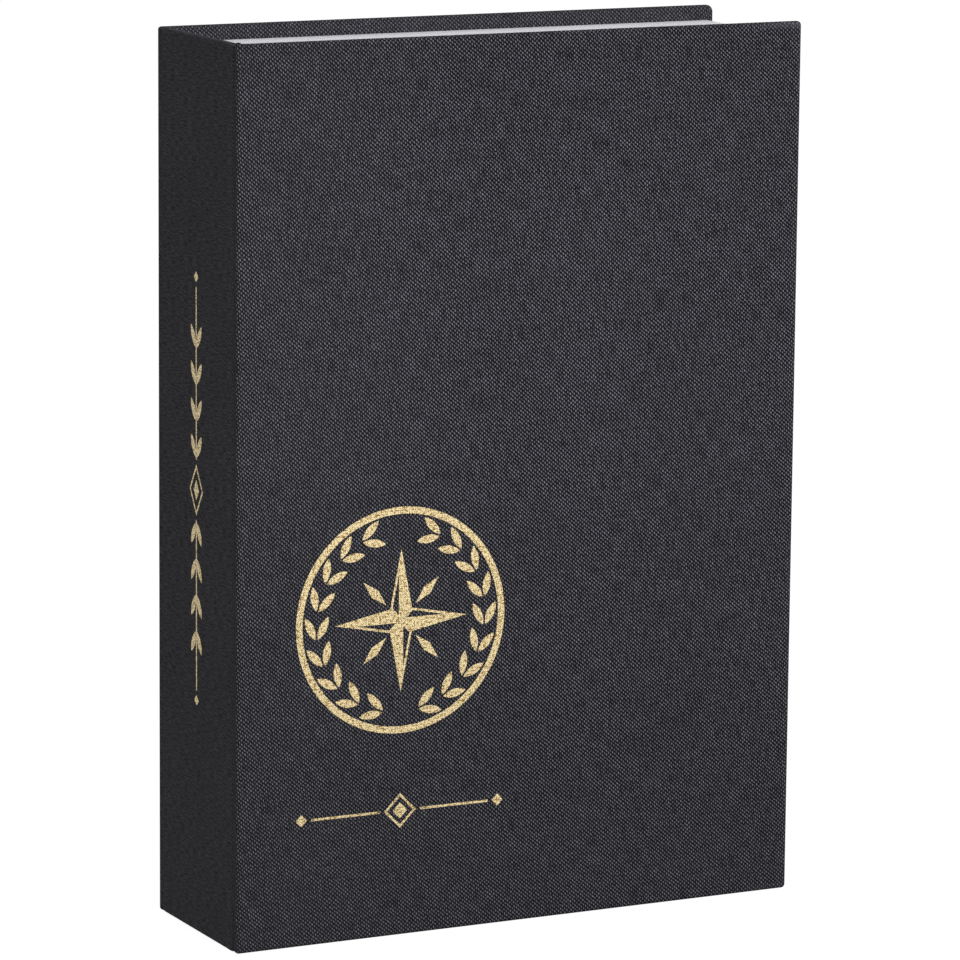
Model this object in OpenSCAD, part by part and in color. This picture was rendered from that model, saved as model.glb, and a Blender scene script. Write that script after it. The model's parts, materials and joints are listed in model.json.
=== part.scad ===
// Book box: a cloth covered case of three boards, closed round a paper covered tray.
// It stands upright, with the front cover towards -Y and the spine towards -X.
// The front cover turns on the fold of cloth between it and the spine.
// All sizes are in millimetres.

/* [Covers] */
// Height of the covers, from tail to head
cover_h = 330; // [220:1:420]
// Width of the covers, from spine to fore edge
cover_w = 228.5; // [170:0.5:300]
// Thickness of the closed box, from front to back
box_t = 70.5; // [45:0.5:110]
// Thickness of the grey board in the covers and the spine
cover_board_t = 2; // [2:0.1:4]
// Thickness of the linen cloth
cloth_t = 0.5; // [0.35:0.05:0.7]
// Width of the cloth that is turned in round the edge of a board
turn_in = 15; // [10:0.5:20]
// Radius of the cloth along the edge of a cover
edge_r = 1; // [0.8:0.05:1.3]
// Radius of the front cover's corners at the fore edge
front_corner_r = 1.5; // [0.8:0.1:4]
// Radius of the back cover's corners at the fore edge
back_corner_r = 2.6; // [0.8:0.1:5]

/* [Joints of the case] */
// Room left on each side of the fold between front cover and spine
fold_gap = 0.1; // [0.05:0.05:0.3]
// Gap between the spine board and the back cover
back_joint_gap = 0.5; // [0.2:0.1:1.5]
// Width of the hinge strip on the inside of the front cover
strip_on_cover = 20; // [14:1:30]
// Width of the hinge strip down the inside of the spine
strip_on_spine = 26; // [12:1:40]

/* [Front lining] */
// Thickness of the white paper on tray and cover
paper_t = 0.25; // [0.2:0.05:0.4]
// Margin of cloth left bare round the lining at head, tail and fore edge
lining_margin = 3; // [2:0.5:8]
// Margin left bare along the joint
lining_joint_margin = 8; // [4:0.5:12]

/* [Tray] */
// Square: how far the covers reach past the tray at head and tail
end_square = 5.6; // [3:0.1:10]
// Square at the fore edge
fore_square = 3; // [1.5:0.1:4]
// Thickness of the tray's boards
tray_board_t = 2; // [1.8:0.1:3]
// Room between the rim of the tray and the closed front cover
lid_gap = 0.15; // [0.1:0.05:0.5]
// Width of the wrapping paper that is turned under the floor
wrap_under = 15; // [8:0.5:30]
// Width of each leg of the paper tape that ties a corner of the tray
stay_w = 18; // [8:0.5:30]
// Thickness of that tape
stay_t = 0.12; // [0.08:0.01:0.15]

/* [Magnets] */
// Length of a magnet, along the fore edge
magnet_l = 15; // [8:0.5:30]
// Width of a magnet
magnet_w = 3.8; // [2.5:0.1:4]
// Thickness of a magnet
magnet_t = 1.5; // [1:0.1:1.6]
// Play round a magnet in its pocket
magnet_play = 0.1; // [0.05:0.05:0.2]
// Height of the magnets' centres from tail and head
magnet_from_end = 82; // [40:1:100]

/* [Gold ornament on the cover] */
// Thickness of the foil, which the stamp presses into the cloth
foil_t = 0.1; // [0.05:0.01:0.2]
// Width of the fine lines in both ornaments
fine_w = 0.9; // [0.6:0.1:1.2]
// Distance from the spine edge to the centre of the medallion
medallion_x = 65.5; // [52:0.5:100]
// Height of the centre of the medallion
medallion_z = 118; // [112:1:160]
// Outer radius of the medallion's ring
ring_r = 42; // [40:0.5:46]
// Width of the ring
ring_w = 2.6; // [1:0.1:3.4]
// Radius of the circle that the wreath's stems follow
wreath_r = 34.2; // [32:0.1:35]
// Pairs of leaves on each side of the wreath
wreath_pairs = 9; // [6:1:11]
// Half of the wreath's opening at the bottom and at the top, in degrees
wreath_opening = 11; // [6:1:20]
// Length of a leaf
leaf_l = 9.2; // [6:0.1:9.6]
// Width of a leaf
leaf_w = 3.1; // [2:0.1:3.6]
// Angle between a leaf and its stem
leaf_lean = 27; // [20:1:32]
// Distance from the stem's joint to the foot of a leaf
leaf_foot = 1; // [0.6:0.1:1.6]
// Length of the star's four rays
ray_l = 26.5; // [18:0.5:27.5]
// Half the width of a ray, where it meets the next one
ray_w = 4.4; // [3:0.1:5]
// Distance from the centre to the near end of the lozenges between the rays
diagonal_from = 8.4; // [8:0.1:10]
// Length of those lozenges
diagonal_l = 13; // [8:0.5:15]
// Width of those lozenges
diagonal_w = 3.6; // [2:0.1:5]
// Height of the band below the medallion
band_z = 47; // [30:1:58]
// Length of the band
band_l = 84; // [70:1:90]
// Size of the lozenge in the middle of the band
band_lozenge = 13; // [9:0.5:16]
// Size of the solid lozenge inside it
band_core = 6; // [3:0.5:6]
// Size of the lozenges at the ends of the band
band_end = 4.6; // [2:0.1:6]
// Gap between a rule and the lozenges at its ends
rule_gap = 1.6; // [0.8:0.1:3]

/* [Gold ornament on the spine] */
// Length of the spine ornament
sprig_l = 160; // [130:1:180]
// Width of the lozenge in its middle
sprig_lozenge_w = 12; // [8:0.5:16]
// Height of that lozenge
sprig_lozenge_h = 19; // [14:0.5:24]
// Share of that lozenge that its solid core takes up
sprig_core = 0.4; // [0.2:0.05:0.5]
// Pairs of leaves above and below the lozenge
sprig_pairs = 4; // [2:1:4]
// Distance between two pairs
sprig_step = 13.4; // [11:0.1:14]
// Size of the lozenges at the ends of the ornament
sprig_end = 4; // [2:0.1:5]

/* [Hidden] */

$fn = 96;
// A little more than the thickness that a cutter has to go through
over = 1;

cloth_colour = "#3a3b40";
strip_colour = "#2e2f33";
board_colour = "#9a948a";
paper_colour = "#eceef1";
tape_colour = "#c9a878";
magnet_colour = "#c4c8cc";
foil_colour = "#d8b56b";

// A cover is board with cloth on both sides at its edges
cover_t = cover_board_t + 2 * cloth_t;
// Inner face of the front cover's board, and the plane of the lining that meets the tray
board_in_y = cloth_t + cover_board_t;
lid_y = cover_t + paper_t;
// Inner face of the back cover, where cloth is turned in
back_y = box_t - cover_t;
// First plane of the spine, behind the fold
spine_y = lid_y + fold_gap;

// The tray's outside, paper included
tray_lo = [cover_t, lid_y + lid_gap, end_square];
tray_hi = [cover_w - fore_square, back_y, cover_h - end_square];
// The tray's boards, within the wrapping paper
boards_lo = tray_lo + [1, 1, 1] * paper_t;
boards_hi = tray_hi - [1, 1, 1] * paper_t;
// The space between the walls' boards
inner_lo = [boards_lo.x + tray_board_t, boards_lo.y, boards_lo.z + tray_board_t];
inner_hi = [boards_hi.x - tray_board_t, boards_hi.y - tray_board_t, boards_hi.z - tray_board_t];

// Centre of the fore edge wall, where the magnets meet
wall_x = (inner_hi.x + boards_hi.x) / 2;
magnet_heights = [cover_h - magnet_from_end, magnet_from_end];

// The origin is under the middle of the closed box
module in_case() {
    translate([-cover_w / 2, -box_t / 2, 0]) children();
}

// Box between two opposite corners
module block(lo, hi) {
    translate(lo) cube(hi - lo);
}

// Rectangle whose corners on the far side are rounded by far_r and on the near side by near_r
module sheet_outline(size, near_r, far_r) {
    difference() {
        square(size);
        for (side = [0, 1]) {
            translate([0, side * size.y]) mirror([0, side]) corner_waste(near_r);
            translate([size.x, side * size.y]) mirror([1, 0]) mirror([0, side]) corner_waste(far_r);
        }
    }
}

// What a round of radius r takes off a square corner at the origin
module corner_waste(r) {
    if (r > 0) {
        difference() {
            translate([-over, -over]) square(r + over);
            translate([r, r]) circle(r);
        }
    }
}

// Extrudes an outline drawn in X and Z along Y, from y = 0 to y = depth
module along_y(depth) {
    translate([0, depth, 0]) rotate([90, 0, 0]) linear_extrude(depth) children();
}

// Extrudes an outline drawn in Y and Z along X, from x = 0 to x = depth
module along_x(depth) {
    rotate([90, 0, 90]) linear_extrude(depth) children();
}

// Outer form of a cloth covered cover, with its outer face at y = 0: all its edges are rounded,
// apart from the inner one at the spine, where the cloth runs on
module covered_plate(corner_r) {
    intersection() {
        linear_extrude(cover_h) difference() {
            sheet_outline([cover_w, cover_t], 0, edge_r);
            corner_waste(edge_r);
        }
        along_x(cover_w) sheet_outline([cover_t, cover_h], edge_r, edge_r);
        along_y(cover_t) sheet_outline([cover_w, cover_h], 0, corner_r);
    }
}

// Grey board of a cover, from its outer to its inner face
module cover_board(corner_r) {
    translate([cloth_t, 0, cloth_t])
        along_y(cover_board_t)
            sheet_outline([cover_w - 2 * cloth_t, cover_h - 2 * cloth_t], 0, corner_r - cloth_t);
}

// Opening in the turned in cloth: it reaches the joint, where no cloth is turned in
module turn_in_window(from_y, to_y) {
    block([cloth_t, from_y, cloth_t + turn_in],
        [cover_w - cloth_t - turn_in, to_y, cover_h - cloth_t - turn_in]);
}

module front_board() {
    color(board_colour) in_case() difference() {
        translate([0, cloth_t, 0]) cover_board(front_corner_r);
        for (z = magnet_heights) cover_magnet_space(z, magnet_play, over);
    }
}

module back_board() {
    color(board_colour) in_case()
        translate([0, box_t - cloth_t - cover_board_t, 0]) cover_board(back_corner_r);
}

module spine_board() {
    color(board_colour) in_case()
        block([cloth_t, spine_y + cloth_t, cloth_t],
            [cloth_t + cover_board_t, back_y - back_joint_gap, cover_h - cloth_t]);
}

// Cloth of the front cover, with its three turn-ins and the edge that runs on to the fold
module front_cloth() {
    color(cloth_colour) in_case() difference() {
        union() {
            covered_plate(front_corner_r);
            block([0, edge_r, edge_r], [cloth_t, lid_y - fold_gap, cover_h - edge_r]);
        }
        translate([0, cloth_t, 0]) cover_board(front_corner_r);
        turn_in_window(board_in_y - over, cover_t + over);
        cover_foil_form();
    }
}

// Cloth of the back cover, the mirror image of the front without its fold
module back_cloth() {
    color(cloth_colour) in_case() difference() {
        translate([0, box_t, 0]) mirror([0, 1, 0]) covered_plate(back_corner_r);
        translate([0, box_t - cloth_t - cover_board_t, 0]) cover_board(back_corner_r);
        turn_in_window(back_y - over, back_y + cloth_t + over);
    }
}

// Cloth of the spine, turned in at head and tail
module spine_cloth() {
    color(cloth_colour) in_case() difference() {
        translate([0, spine_y, 0])
            along_y(back_y - spine_y) sheet_outline([cover_t, cover_h], edge_r, edge_r);
        block([cloth_t, spine_y + cloth_t, cloth_t],
            [cloth_t + cover_board_t, back_y + over, cover_h - cloth_t]);
        block([cloth_t, spine_y + cloth_t, cloth_t + turn_in],
            [cover_t + over, back_y + over, cover_h - cloth_t - turn_in]);
        block([cloth_t, spine_y - over, cloth_t],
            [cover_t + over, spine_y + cloth_t + over, cover_h - cloth_t]);
        spine_foil_form();
    }
}

// White paper on the inside of the front cover: over the turn-ins at its edges, down on the board inside
module front_lining() {
    lo = [lining_joint_margin, lining_margin];
    hi = [cover_w - lining_margin, cover_h - lining_margin];
    field_lo = [cloth_t + strip_on_cover, cloth_t + turn_in];
    field_hi = [cover_w - cloth_t - turn_in, cover_h - cloth_t - turn_in];
    color(paper_colour) in_case() difference() {
        union() {
            block([lo.x, cover_t, lo.y], [hi.x, lid_y, hi.y]);
            block([field_lo.x, board_in_y, field_lo.y], [field_hi.x, lid_y, field_hi.y]);
        }
        block([field_lo.x + paper_t, board_in_y + paper_t, field_lo.y + paper_t],
            [field_hi.x - paper_t, lid_y + over, field_hi.y - paper_t]);
    }
}

// Inner hinge strip, first half: on the inside of the front cover, up to the fold
module hinge_strip_cover() {
    color(strip_colour) in_case()
        block([cloth_t, board_in_y, cloth_t + turn_in],
            [cloth_t + strip_on_cover, cover_t, cover_h - cloth_t - turn_in]);
}

// Inner hinge strip, second half: over the edge of the spine board and down its inside
module hinge_strip_spine() {
    color(strip_colour) in_case() {
        block([cloth_t, spine_y, cloth_t], [cover_t, spine_y + cloth_t, cover_h - cloth_t]);
        block([cloth_t + cover_board_t, spine_y + cloth_t, cloth_t + turn_in],
            [cover_t, spine_y + strip_on_spine, cover_h - cloth_t - turn_in]);
    }
}

module tray_floor() {
    color(board_colour) in_case()
        block([inner_lo.x, inner_hi.y, inner_lo.z], [inner_hi.x, boards_hi.y, inner_hi.z]);
}

module tray_head_wall() {
    color(board_colour) in_case()
        block([boards_lo.x, boards_lo.y, inner_hi.z], boards_hi);
}

module tray_tail_wall() {
    color(board_colour) in_case()
        block(boards_lo, [boards_hi.x, boards_hi.y, inner_lo.z]);
}

module tray_spine_wall() {
    color(board_colour) in_case()
        block([boards_lo.x, boards_lo.y, inner_lo.z], [inner_lo.x, boards_hi.y, inner_hi.z]);
}

// The wall at the fore edge has a pocket for each magnet, open to the rim and to the inside
module tray_fore_edge_wall() {
    color(board_colour) in_case() difference() {
        block([inner_hi.x, boards_lo.y, inner_lo.z], [boards_hi.x, boards_hi.y, inner_hi.z]);
        for (z = magnet_heights) wall_magnet_space(z, magnet_play, over);
    }
}

// The four corners of the tray's boards, each tied by a folded paper tape
module tray_corner_stays() {
    color(tape_colour) in_case() corner_stays_form();
}

module corner_stays_form() {
    middle = (boards_lo + boards_hi) / 2;
    for (side_x = [0, 1], side_z = [0, 1])
        translate(middle) mirror([side_x, 0, 0]) mirror([0, 0, side_z]) translate(-middle)
            difference() {
                block(boards_lo - [stay_t, 0, stay_t],
                    [boards_lo.x + stay_w, boards_hi.y, boards_lo.z + stay_w]);
                block(boards_lo - [0, over, 0],
                    [boards_lo.x + stay_w + over, boards_hi.y + over, boards_lo.z + stay_w + over]);
            }
}

// White paper round the tray: outside, over the rim, down the inside and turned under the floor
module tray_wrap() {
    color(paper_colour) in_case() difference() {
        block(tray_lo, tray_hi);
        walls_and_floor();
        block([inner_lo.x + paper_t, tray_lo.y - over, inner_lo.z + paper_t],
            [inner_hi.x - paper_t, inner_hi.y + over, inner_hi.z - paper_t]);
        block([tray_lo.x + wrap_under, inner_hi.y, tray_lo.z + wrap_under],
            [tray_hi.x - wrap_under, tray_hi.y + over, tray_hi.z - wrap_under]);
        corner_stays_form();
    }
}

// The tray's boards as one form, which the paper wraps
module walls_and_floor() {
    difference() {
        block(boards_lo, boards_hi);
        block([inner_lo.x, boards_lo.y - over, inner_lo.z], inner_hi);
    }
}

module tray_floor_lining() {
    color(paper_colour) in_case()
        block([inner_lo.x + paper_t, inner_hi.y - paper_t, inner_lo.z + paper_t],
            [inner_hi.x - paper_t, inner_hi.y, inner_hi.z - paper_t]);
}

// Space of a magnet in the front cover: it lies against the turned in cloth, over the wall's middle
module cover_magnet_space(z, play, out) {
    block([wall_x - magnet_w / 2 - play, board_in_y - magnet_t - play, z - magnet_l / 2 - play],
        [wall_x + magnet_w / 2 + play, board_in_y + out, z + magnet_l / 2 + play]);
}

// Space of a magnet in the fore edge wall: it stands on edge, with its end at the rim
module wall_magnet_space(z, play, out) {
    block([inner_hi.x - out, boards_lo.y - out, z - magnet_l / 2 - play],
        [inner_hi.x + magnet_t + play, boards_lo.y + magnet_w + play, z + magnet_l / 2 + play]);
}

module cover_magnet_upper() {
    color(magnet_colour) in_case() cover_magnet_space(magnet_heights[0], 0, 0);
}

module cover_magnet_lower() {
    color(magnet_colour) in_case() cover_magnet_space(magnet_heights[1], 0, 0);
}

module wall_magnet_upper() {
    color(magnet_colour) in_case() wall_magnet_space(magnet_heights[0], 0, 0);
}

module wall_magnet_lower() {
    color(magnet_colour) in_case() wall_magnet_space(magnet_heights[1], 0, 0);
}

// Lozenge of the given width and height round the origin
module lozenge(w, h) {
    polygon([[0, -h / 2], [w / 2, 0], [0, h / 2], [-w / 2, 0]]);
}

// Lozenge drawn as an outline of the given width
module open_lozenge(w, h, line_w) {
    inner_radius = w * h / (2 * norm([w, h]));
    shrink = 1 - line_w / inner_radius;
    difference() {
        lozenge(w, h);
        lozenge(w * shrink, h * shrink);
    }
}

// Triangle drawn as an outline: the inner one is drawn in towards the centre of the inscribed circle
module open_triangle(p, line_w) {
    sides = [norm(p[1] - p[2]), norm(p[2] - p[0]), norm(p[0] - p[1])];
    round_about = sides[0] + sides[1] + sides[2];
    middle = (sides[0] * p[0] + sides[1] * p[1] + sides[2] * p[2]) / round_about;
    inner_radius = abs(cross(p[1] - p[0], p[2] - p[0])) / round_about;
    shrink = 1 - line_w / inner_radius;
    difference() {
        polygon(p);
        polygon([for (q = p) middle + (q - middle) * shrink]);
    }
}

module ring(r, w) {
    difference() {
        circle(r);
        circle(r - w);
    }
}

// Leaf of two arcs, which grows along +Y from the stem's joint at the origin
module leaf() {
    arc_r = (leaf_l * leaf_l + leaf_w * leaf_w) / (4 * leaf_w);
    translate([0, leaf_foot + leaf_l / 2]) intersection() {
        translate([leaf_w / 2 - arc_r, 0]) circle(arc_r);
        translate([arc_r - leaf_w / 2, 0]) circle(arc_r);
    }
}

// Two leaves on one joint, on either side of a stem that runs along +Y
module leaf_pair() {
    for (lean = [-leaf_lean, leaf_lean]) rotate(lean) leaf();
}

// Two branches of leaf pairs, which grow from the foot of a circle round to its top
module wreath() {
    step = (180 - 2 * wreath_opening) / wreath_pairs;
    // A pair turns in with the circle by the angle of the chord along its leaves
    turn = asin((leaf_foot + leaf_l / 2) / wreath_r);
    for (side = [0, 1], i = [0 : wreath_pairs - 1])
        mirror([side, 0]) rotate(wreath_opening + i * step)
            translate([0, -wreath_r]) rotate(turn - 90) leaf_pair();
}

// Star of four rays, each half solid and half outline, with a lozenge between every two
module star() {
    for (turn = [0 : 90 : 270]) rotate(turn) {
        polygon([[0, 0], [ray_w, ray_w], [0, ray_l]]);
        open_triangle([[0, 0], [-ray_w, ray_w], [0, ray_l]], fine_w);
        rotate(45) translate([0, diagonal_from + diagonal_l / 2]) lozenge(diagonal_w, diagonal_l);
    }
}

module medallion() {
    ring(ring_r, ring_w);
    wreath();
    star();
}

// The band: a lozenge between two fine rules that end in small lozenges
module band() {
    rule_from = band_lozenge / 2 + rule_gap;
    rule_to = band_l / 2 - band_end - rule_gap;
    open_lozenge(band_lozenge, band_lozenge, fine_w);
    lozenge(band_core, band_core);
    for (side = [0, 1]) mirror([side, 0]) {
        translate([rule_from, -fine_w / 2]) square([rule_to - rule_from, fine_w]);
        translate([(band_l - band_end) / 2, 0]) lozenge(band_end, band_end);
    }
}

// The sprig on the spine: leaf pairs on a stem, which grow up and down from a lozenge in the middle
module sprig() {
    first = sprig_lozenge_h / 2 + rule_gap;
    stem_to = sprig_l / 2 - sprig_end - rule_gap;
    open_lozenge(sprig_lozenge_w, sprig_lozenge_h, fine_w);
    lozenge(sprig_lozenge_w * sprig_core, sprig_lozenge_h * sprig_core);
    for (side = [0, 1]) mirror([0, side]) {
        translate([-fine_w / 2, first]) square([fine_w, stem_to - first]);
        for (i = [0 : sprig_pairs - 1]) translate([0, first + i * sprig_step]) leaf_pair();
        translate([0, (sprig_l - sprig_end) / 2]) lozenge(sprig_end, sprig_end);
    }
}

module cover_foil_form() {
    along_y(foil_t) {
        translate([medallion_x, medallion_z]) medallion();
        translate([medallion_x, band_z]) band();
    }
}

module spine_foil_form() {
    along_x(foil_t) translate([(spine_y + back_y) / 2, cover_h / 2]) sprig();
}

module cover_foil() {
    color(foil_colour) in_case() cover_foil_form();
}

module spine_foil() {
    color(foil_colour) in_case() spine_foil_form();
}

front_board();
spine_board();
back_board();
front_cloth();
spine_cloth();
back_cloth();
front_lining();
hinge_strip_cover();
hinge_strip_spine();
tray_floor();
tray_head_wall();
tray_tail_wall();
tray_fore_edge_wall();
tray_spine_wall();
tray_corner_stays();
tray_wrap();
tray_floor_lining();
cover_magnet_upper();
cover_magnet_lower();
wall_magnet_upper();
wall_magnet_lower();
cover_foil();
spine_foil();
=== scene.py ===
# %% [markdown]
# # A book box, dressed
# A bookbinder makes a case for a box like this: three grey boards are glued to one sheet of linen, its
# edges are turned in, and a tray covered with white paper is glued inside. The construction model holds
# every board, sheet and magnet as a plain solid at its real size. This lesson gives those solids their
# looks: cloth that runs round the edges in one piece, paper with soft folds, and stamped gold.
#
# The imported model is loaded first: it is the frame that the rest is fitted to.

# %% Load the frame
import json
import math

import bmesh
import bpy
import numpy as np
from mathutils import Matrix, Vector


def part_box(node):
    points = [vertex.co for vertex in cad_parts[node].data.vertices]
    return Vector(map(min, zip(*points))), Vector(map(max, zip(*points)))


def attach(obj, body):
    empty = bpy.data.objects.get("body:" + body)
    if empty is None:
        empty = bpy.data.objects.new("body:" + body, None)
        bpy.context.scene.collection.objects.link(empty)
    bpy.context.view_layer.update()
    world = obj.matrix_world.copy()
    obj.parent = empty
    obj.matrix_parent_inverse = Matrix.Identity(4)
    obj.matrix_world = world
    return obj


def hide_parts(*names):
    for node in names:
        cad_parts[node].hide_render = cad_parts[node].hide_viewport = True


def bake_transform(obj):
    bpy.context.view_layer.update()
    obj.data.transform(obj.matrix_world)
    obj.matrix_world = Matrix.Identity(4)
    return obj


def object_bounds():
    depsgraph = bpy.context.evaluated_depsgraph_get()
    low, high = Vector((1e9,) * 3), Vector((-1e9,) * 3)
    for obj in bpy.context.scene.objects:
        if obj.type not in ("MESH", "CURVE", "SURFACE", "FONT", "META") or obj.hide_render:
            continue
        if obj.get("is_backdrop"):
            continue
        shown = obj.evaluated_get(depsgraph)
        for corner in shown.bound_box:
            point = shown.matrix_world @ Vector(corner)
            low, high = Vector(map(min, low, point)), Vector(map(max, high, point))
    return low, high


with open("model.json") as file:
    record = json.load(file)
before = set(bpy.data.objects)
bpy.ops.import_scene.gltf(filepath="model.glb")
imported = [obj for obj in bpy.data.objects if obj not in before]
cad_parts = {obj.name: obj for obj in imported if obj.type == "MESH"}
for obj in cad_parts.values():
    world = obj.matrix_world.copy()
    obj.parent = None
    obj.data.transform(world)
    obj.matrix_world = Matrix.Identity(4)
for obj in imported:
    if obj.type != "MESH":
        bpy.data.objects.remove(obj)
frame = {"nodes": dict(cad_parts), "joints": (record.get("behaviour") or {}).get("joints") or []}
cad_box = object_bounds()

# %% [markdown]
# ## Sizes, read from the frame
# Nothing is measured twice: the covers, the spine and the tray give their own corners. The shapes below
# are drawn from the case's own corner. X runs from the spine to the fore edge, Y from the front cover to
# the back one, and Z up. The place of that corner is added when a mesh is made.

# %% Sizes of the case
MM = 0.001


def corners(node):
    """Lowest and highest corner of a node of the frame, as the rows of an array."""
    return np.array(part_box(node))


corner = corners("front_cloth")[0] * [1, 1, 0]


def in_case(node):
    """The same two, counted from the case's own corner."""
    return corners(node) - corner


back_low, back_high = in_case("back_cloth")
cover_w, box_t, cover_h = back_high
cover_t = back_high[1] - back_low[1]
cloth_t = in_case("front_board")[0][0]
spine_y = in_case("spine_cloth")[0][1]
fold_y = frame["joints"][0]["pos_m"][1] - corner[1]
print(f"case {cover_w / MM:.1f} x {box_t / MM:.1f} x {cover_h / MM:.1f} mm, covers {cover_t / MM:.1f} mm")

# %% [markdown]
# ## The camera
# The photograph was taken with a long lens from the spine's side, a little above the box. A pinhole
# camera was fitted to the box's edges, so the numbers below are a real place in metres and real angles.
# The camera is rolled about its own axis, then dipped from the level and turned to the right.

# %% Camera
IMAGE_WIDTH = 960
FOCAL_PIXELS = 5443.8
CAMERA_PLACE = (-0.89081, -1.77809, 0.52667)
CAMERA_TURN = math.radians(26.6234)
CAMERA_DIP = math.radians(10.4402)
CAMERA_ROLL = math.radians(0.4975)


def add_object(name, data):
    """A new object in the scene."""
    made = bpy.data.objects.new(name, data)
    bpy.context.scene.collection.objects.link(made)
    return made


camera = add_object("camera", bpy.data.cameras.new("camera"))
camera.data.sensor_width = 36
camera.data.lens = camera.data.sensor_width * FOCAL_PIXELS / IMAGE_WIDTH
turned_right = Matrix.Rotation(-CAMERA_TURN, 4, "Z")
dipped = Matrix.Rotation(math.pi / 2 - CAMERA_DIP, 4, "X")
rolled = Matrix.Rotation(CAMERA_ROLL, 4, "Z")
camera.matrix_world = Matrix.Translation(CAMERA_PLACE) @ turned_right @ dipped @ rolled
bpy.context.scene.camera = camera
print(f"camera lens {camera.data.lens:.1f} mm")

# %% [markdown]
# ## Shader maths as Python
# A woven pattern is arithmetic on the cloth's own coordinates. One small class wraps a socket, and its
# operators add Math nodes, so that a formula reads as a formula.

# %% Sockets that calculate
def operator(operation, swap=False):
    """A method that adds a Math node. swap puts its own socket last."""

    def method(self, *others):
        values = (*others, self) if swap else (self, *others)
        return self.shader.node("Math", {"operation": operation}, values)

    return method


class Value:
    """One output socket. Arithmetic on it adds Math nodes to its shader."""

    def __init__(self, shader, socket):
        self.shader, self.socket = shader, socket

    __add__ = __radd__ = operator("ADD")
    __mul__ = __rmul__ = operator("MULTIPLY")
    __sub__ = operator("SUBTRACT")
    __rsub__ = operator("SUBTRACT", swap=True)
    __truediv__ = operator("DIVIDE")
    __pow__ = operator("POWER")
    __abs__ = operator("ABSOLUTE")
    cos = operator("COSINE")
    larger = operator("MAXIMUM")

    def smooth(self, low, high):
        """0 below low, 1 above high, and a smooth step between them."""
        values = {"Value": self, "From Min": low, "From Max": high}
        return self.shader.node("MapRange", {"interpolation_type": "SMOOTHSTEP"}, values)

    def mix(self, a, b):
        """Colour a where this value is 0 and colour b where it is 1."""
        values = {"Factor_Float": self, "A_Color": a, "B_Color": b}
        return self.shader.node("Mix", {"data_type": "RGBA"}, values, "Result_Color")


# %% Shaders that hold them
SHEET_MAP = "sheet"


class Shader:
    """The node tree of a new material or world, filled by formulas."""

    def __init__(self, name, kind="materials"):
        self.owner = getattr(bpy.data, kind).new(name)
        self.owner.use_nodes = True
        self.tree = self.owner.node_tree
        self.tree.nodes.clear()

    def node(self, kind, settings=None, values=(), output=0):
        """Adds a shader node, with its settings and its sockets' values or links. Gives one output."""
        made = self.tree.nodes.new("ShaderNode" + kind)
        for setting, value in (settings or {}).items():
            setattr(made, setting, value)
        pairs = values.items() if isinstance(values, dict) else enumerate(values)
        for key, value in pairs:
            self.plug(self.find(made.inputs, key), value)
        return Value(self, self.find(made.outputs, output)) if made.outputs else None

    def find(self, sockets, key):
        """The socket with that identifier, or else that number or name."""
        return next((s for s in sockets if s.identifier == key), None) or sockets[key]

    def plug(self, socket, value):
        """Links a Value to a socket, or sets the socket's own value."""
        if isinstance(value, Value):
            self.tree.links.new(value.socket, socket)
        elif socket.type == "RGBA":
            socket.default_value = (*value, 1)
        else:
            socket.default_value = value

    def split(self, point, count):
        """The first axes of a vector."""
        return [self.node("SeparateXYZ", None, [point], axis) for axis in range(count)]

    def place(self):
        """X, Y and Z of the point in the object's own metres."""
        return self.split(self.node("TexCoord", output="Object"), 3)

    def sheet(self):
        """U and V of the piece's own map, in metres along the sheet that it was made from."""
        return self.split(self.node("UVMap", {"uv_map": SHEET_MAP}), 2)

    def attribute(self, name):
        """A value that the mesh holds for each vertex."""
        return self.node("Attribute", {"attribute_name": name}, output="Fac")

    def noise(self, x, y, z=0.0, detail=2.0, roughness=0.5):
        """Noise of unit scale over three coordinates, about 0.5 on average."""
        where = self.node("CombineXYZ", None, [x, y, z])
        values = {"Vector": where, "Scale": 1.0, "Detail": detail, "Roughness": roughness}
        return self.node("TexNoise", None, values)

    def bump(self, height, distance, strength):
        """A normal that is tilted by a height of so many metres."""
        values = {"Height": height, "Distance": distance, "Strength": strength}
        return self.node("Bump", None, values)

    def finish(self, **values):
        """Ends in a Principled shader, whose sockets are named with underscores for spaces."""
        named = {key.replace("_", " "): value for key, value in values.items()}
        surface = self.node("BsdfPrincipled", None, named)
        self.node("OutputMaterial", None, {"Surface": surface})
        return self.owner


# %% [markdown]
# ## Linen
# The linen is a plain weave: light warp threads stand up the cover, over and under black weft threads
# that run across it. Where a warp thread passes over, it shows as a light dot, and the dots lie like the
# squares of one colour on a chessboard. Two waves make that board, one along each diagonal: their sum is
# positive where the warp is on top. The yarn's twist slants every dot the same way, so one diagonal is
# stronger. Real threads wander and differ from one another, so noise bends the board and shades them.
#
# The board is drawn in metres along the sheet, so that the threads run on round the edges and over the
# folds. On the spine the cloth was rubbed down hard over its board: its threads lie flat and show as fine
# streaks. The turned in edges were rubbed too, and the covers a little, beside the joints and at the tail.
# In the joints' grooves and on the arrises shade is painted: the light threads are darkened there.
# Along the covers' edges, and most at their corners, the threads are frayed by handling and lighter, and
# that lighter band is also a painted highlight.

# %% Linen weave
WARP_PITCH = 0.866 * MM
WEFT_PITCH = 0.803 * MM
WARP_LEAN = 0.117
WANDER = 0.9
YARN_SLANT = 0.23


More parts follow.
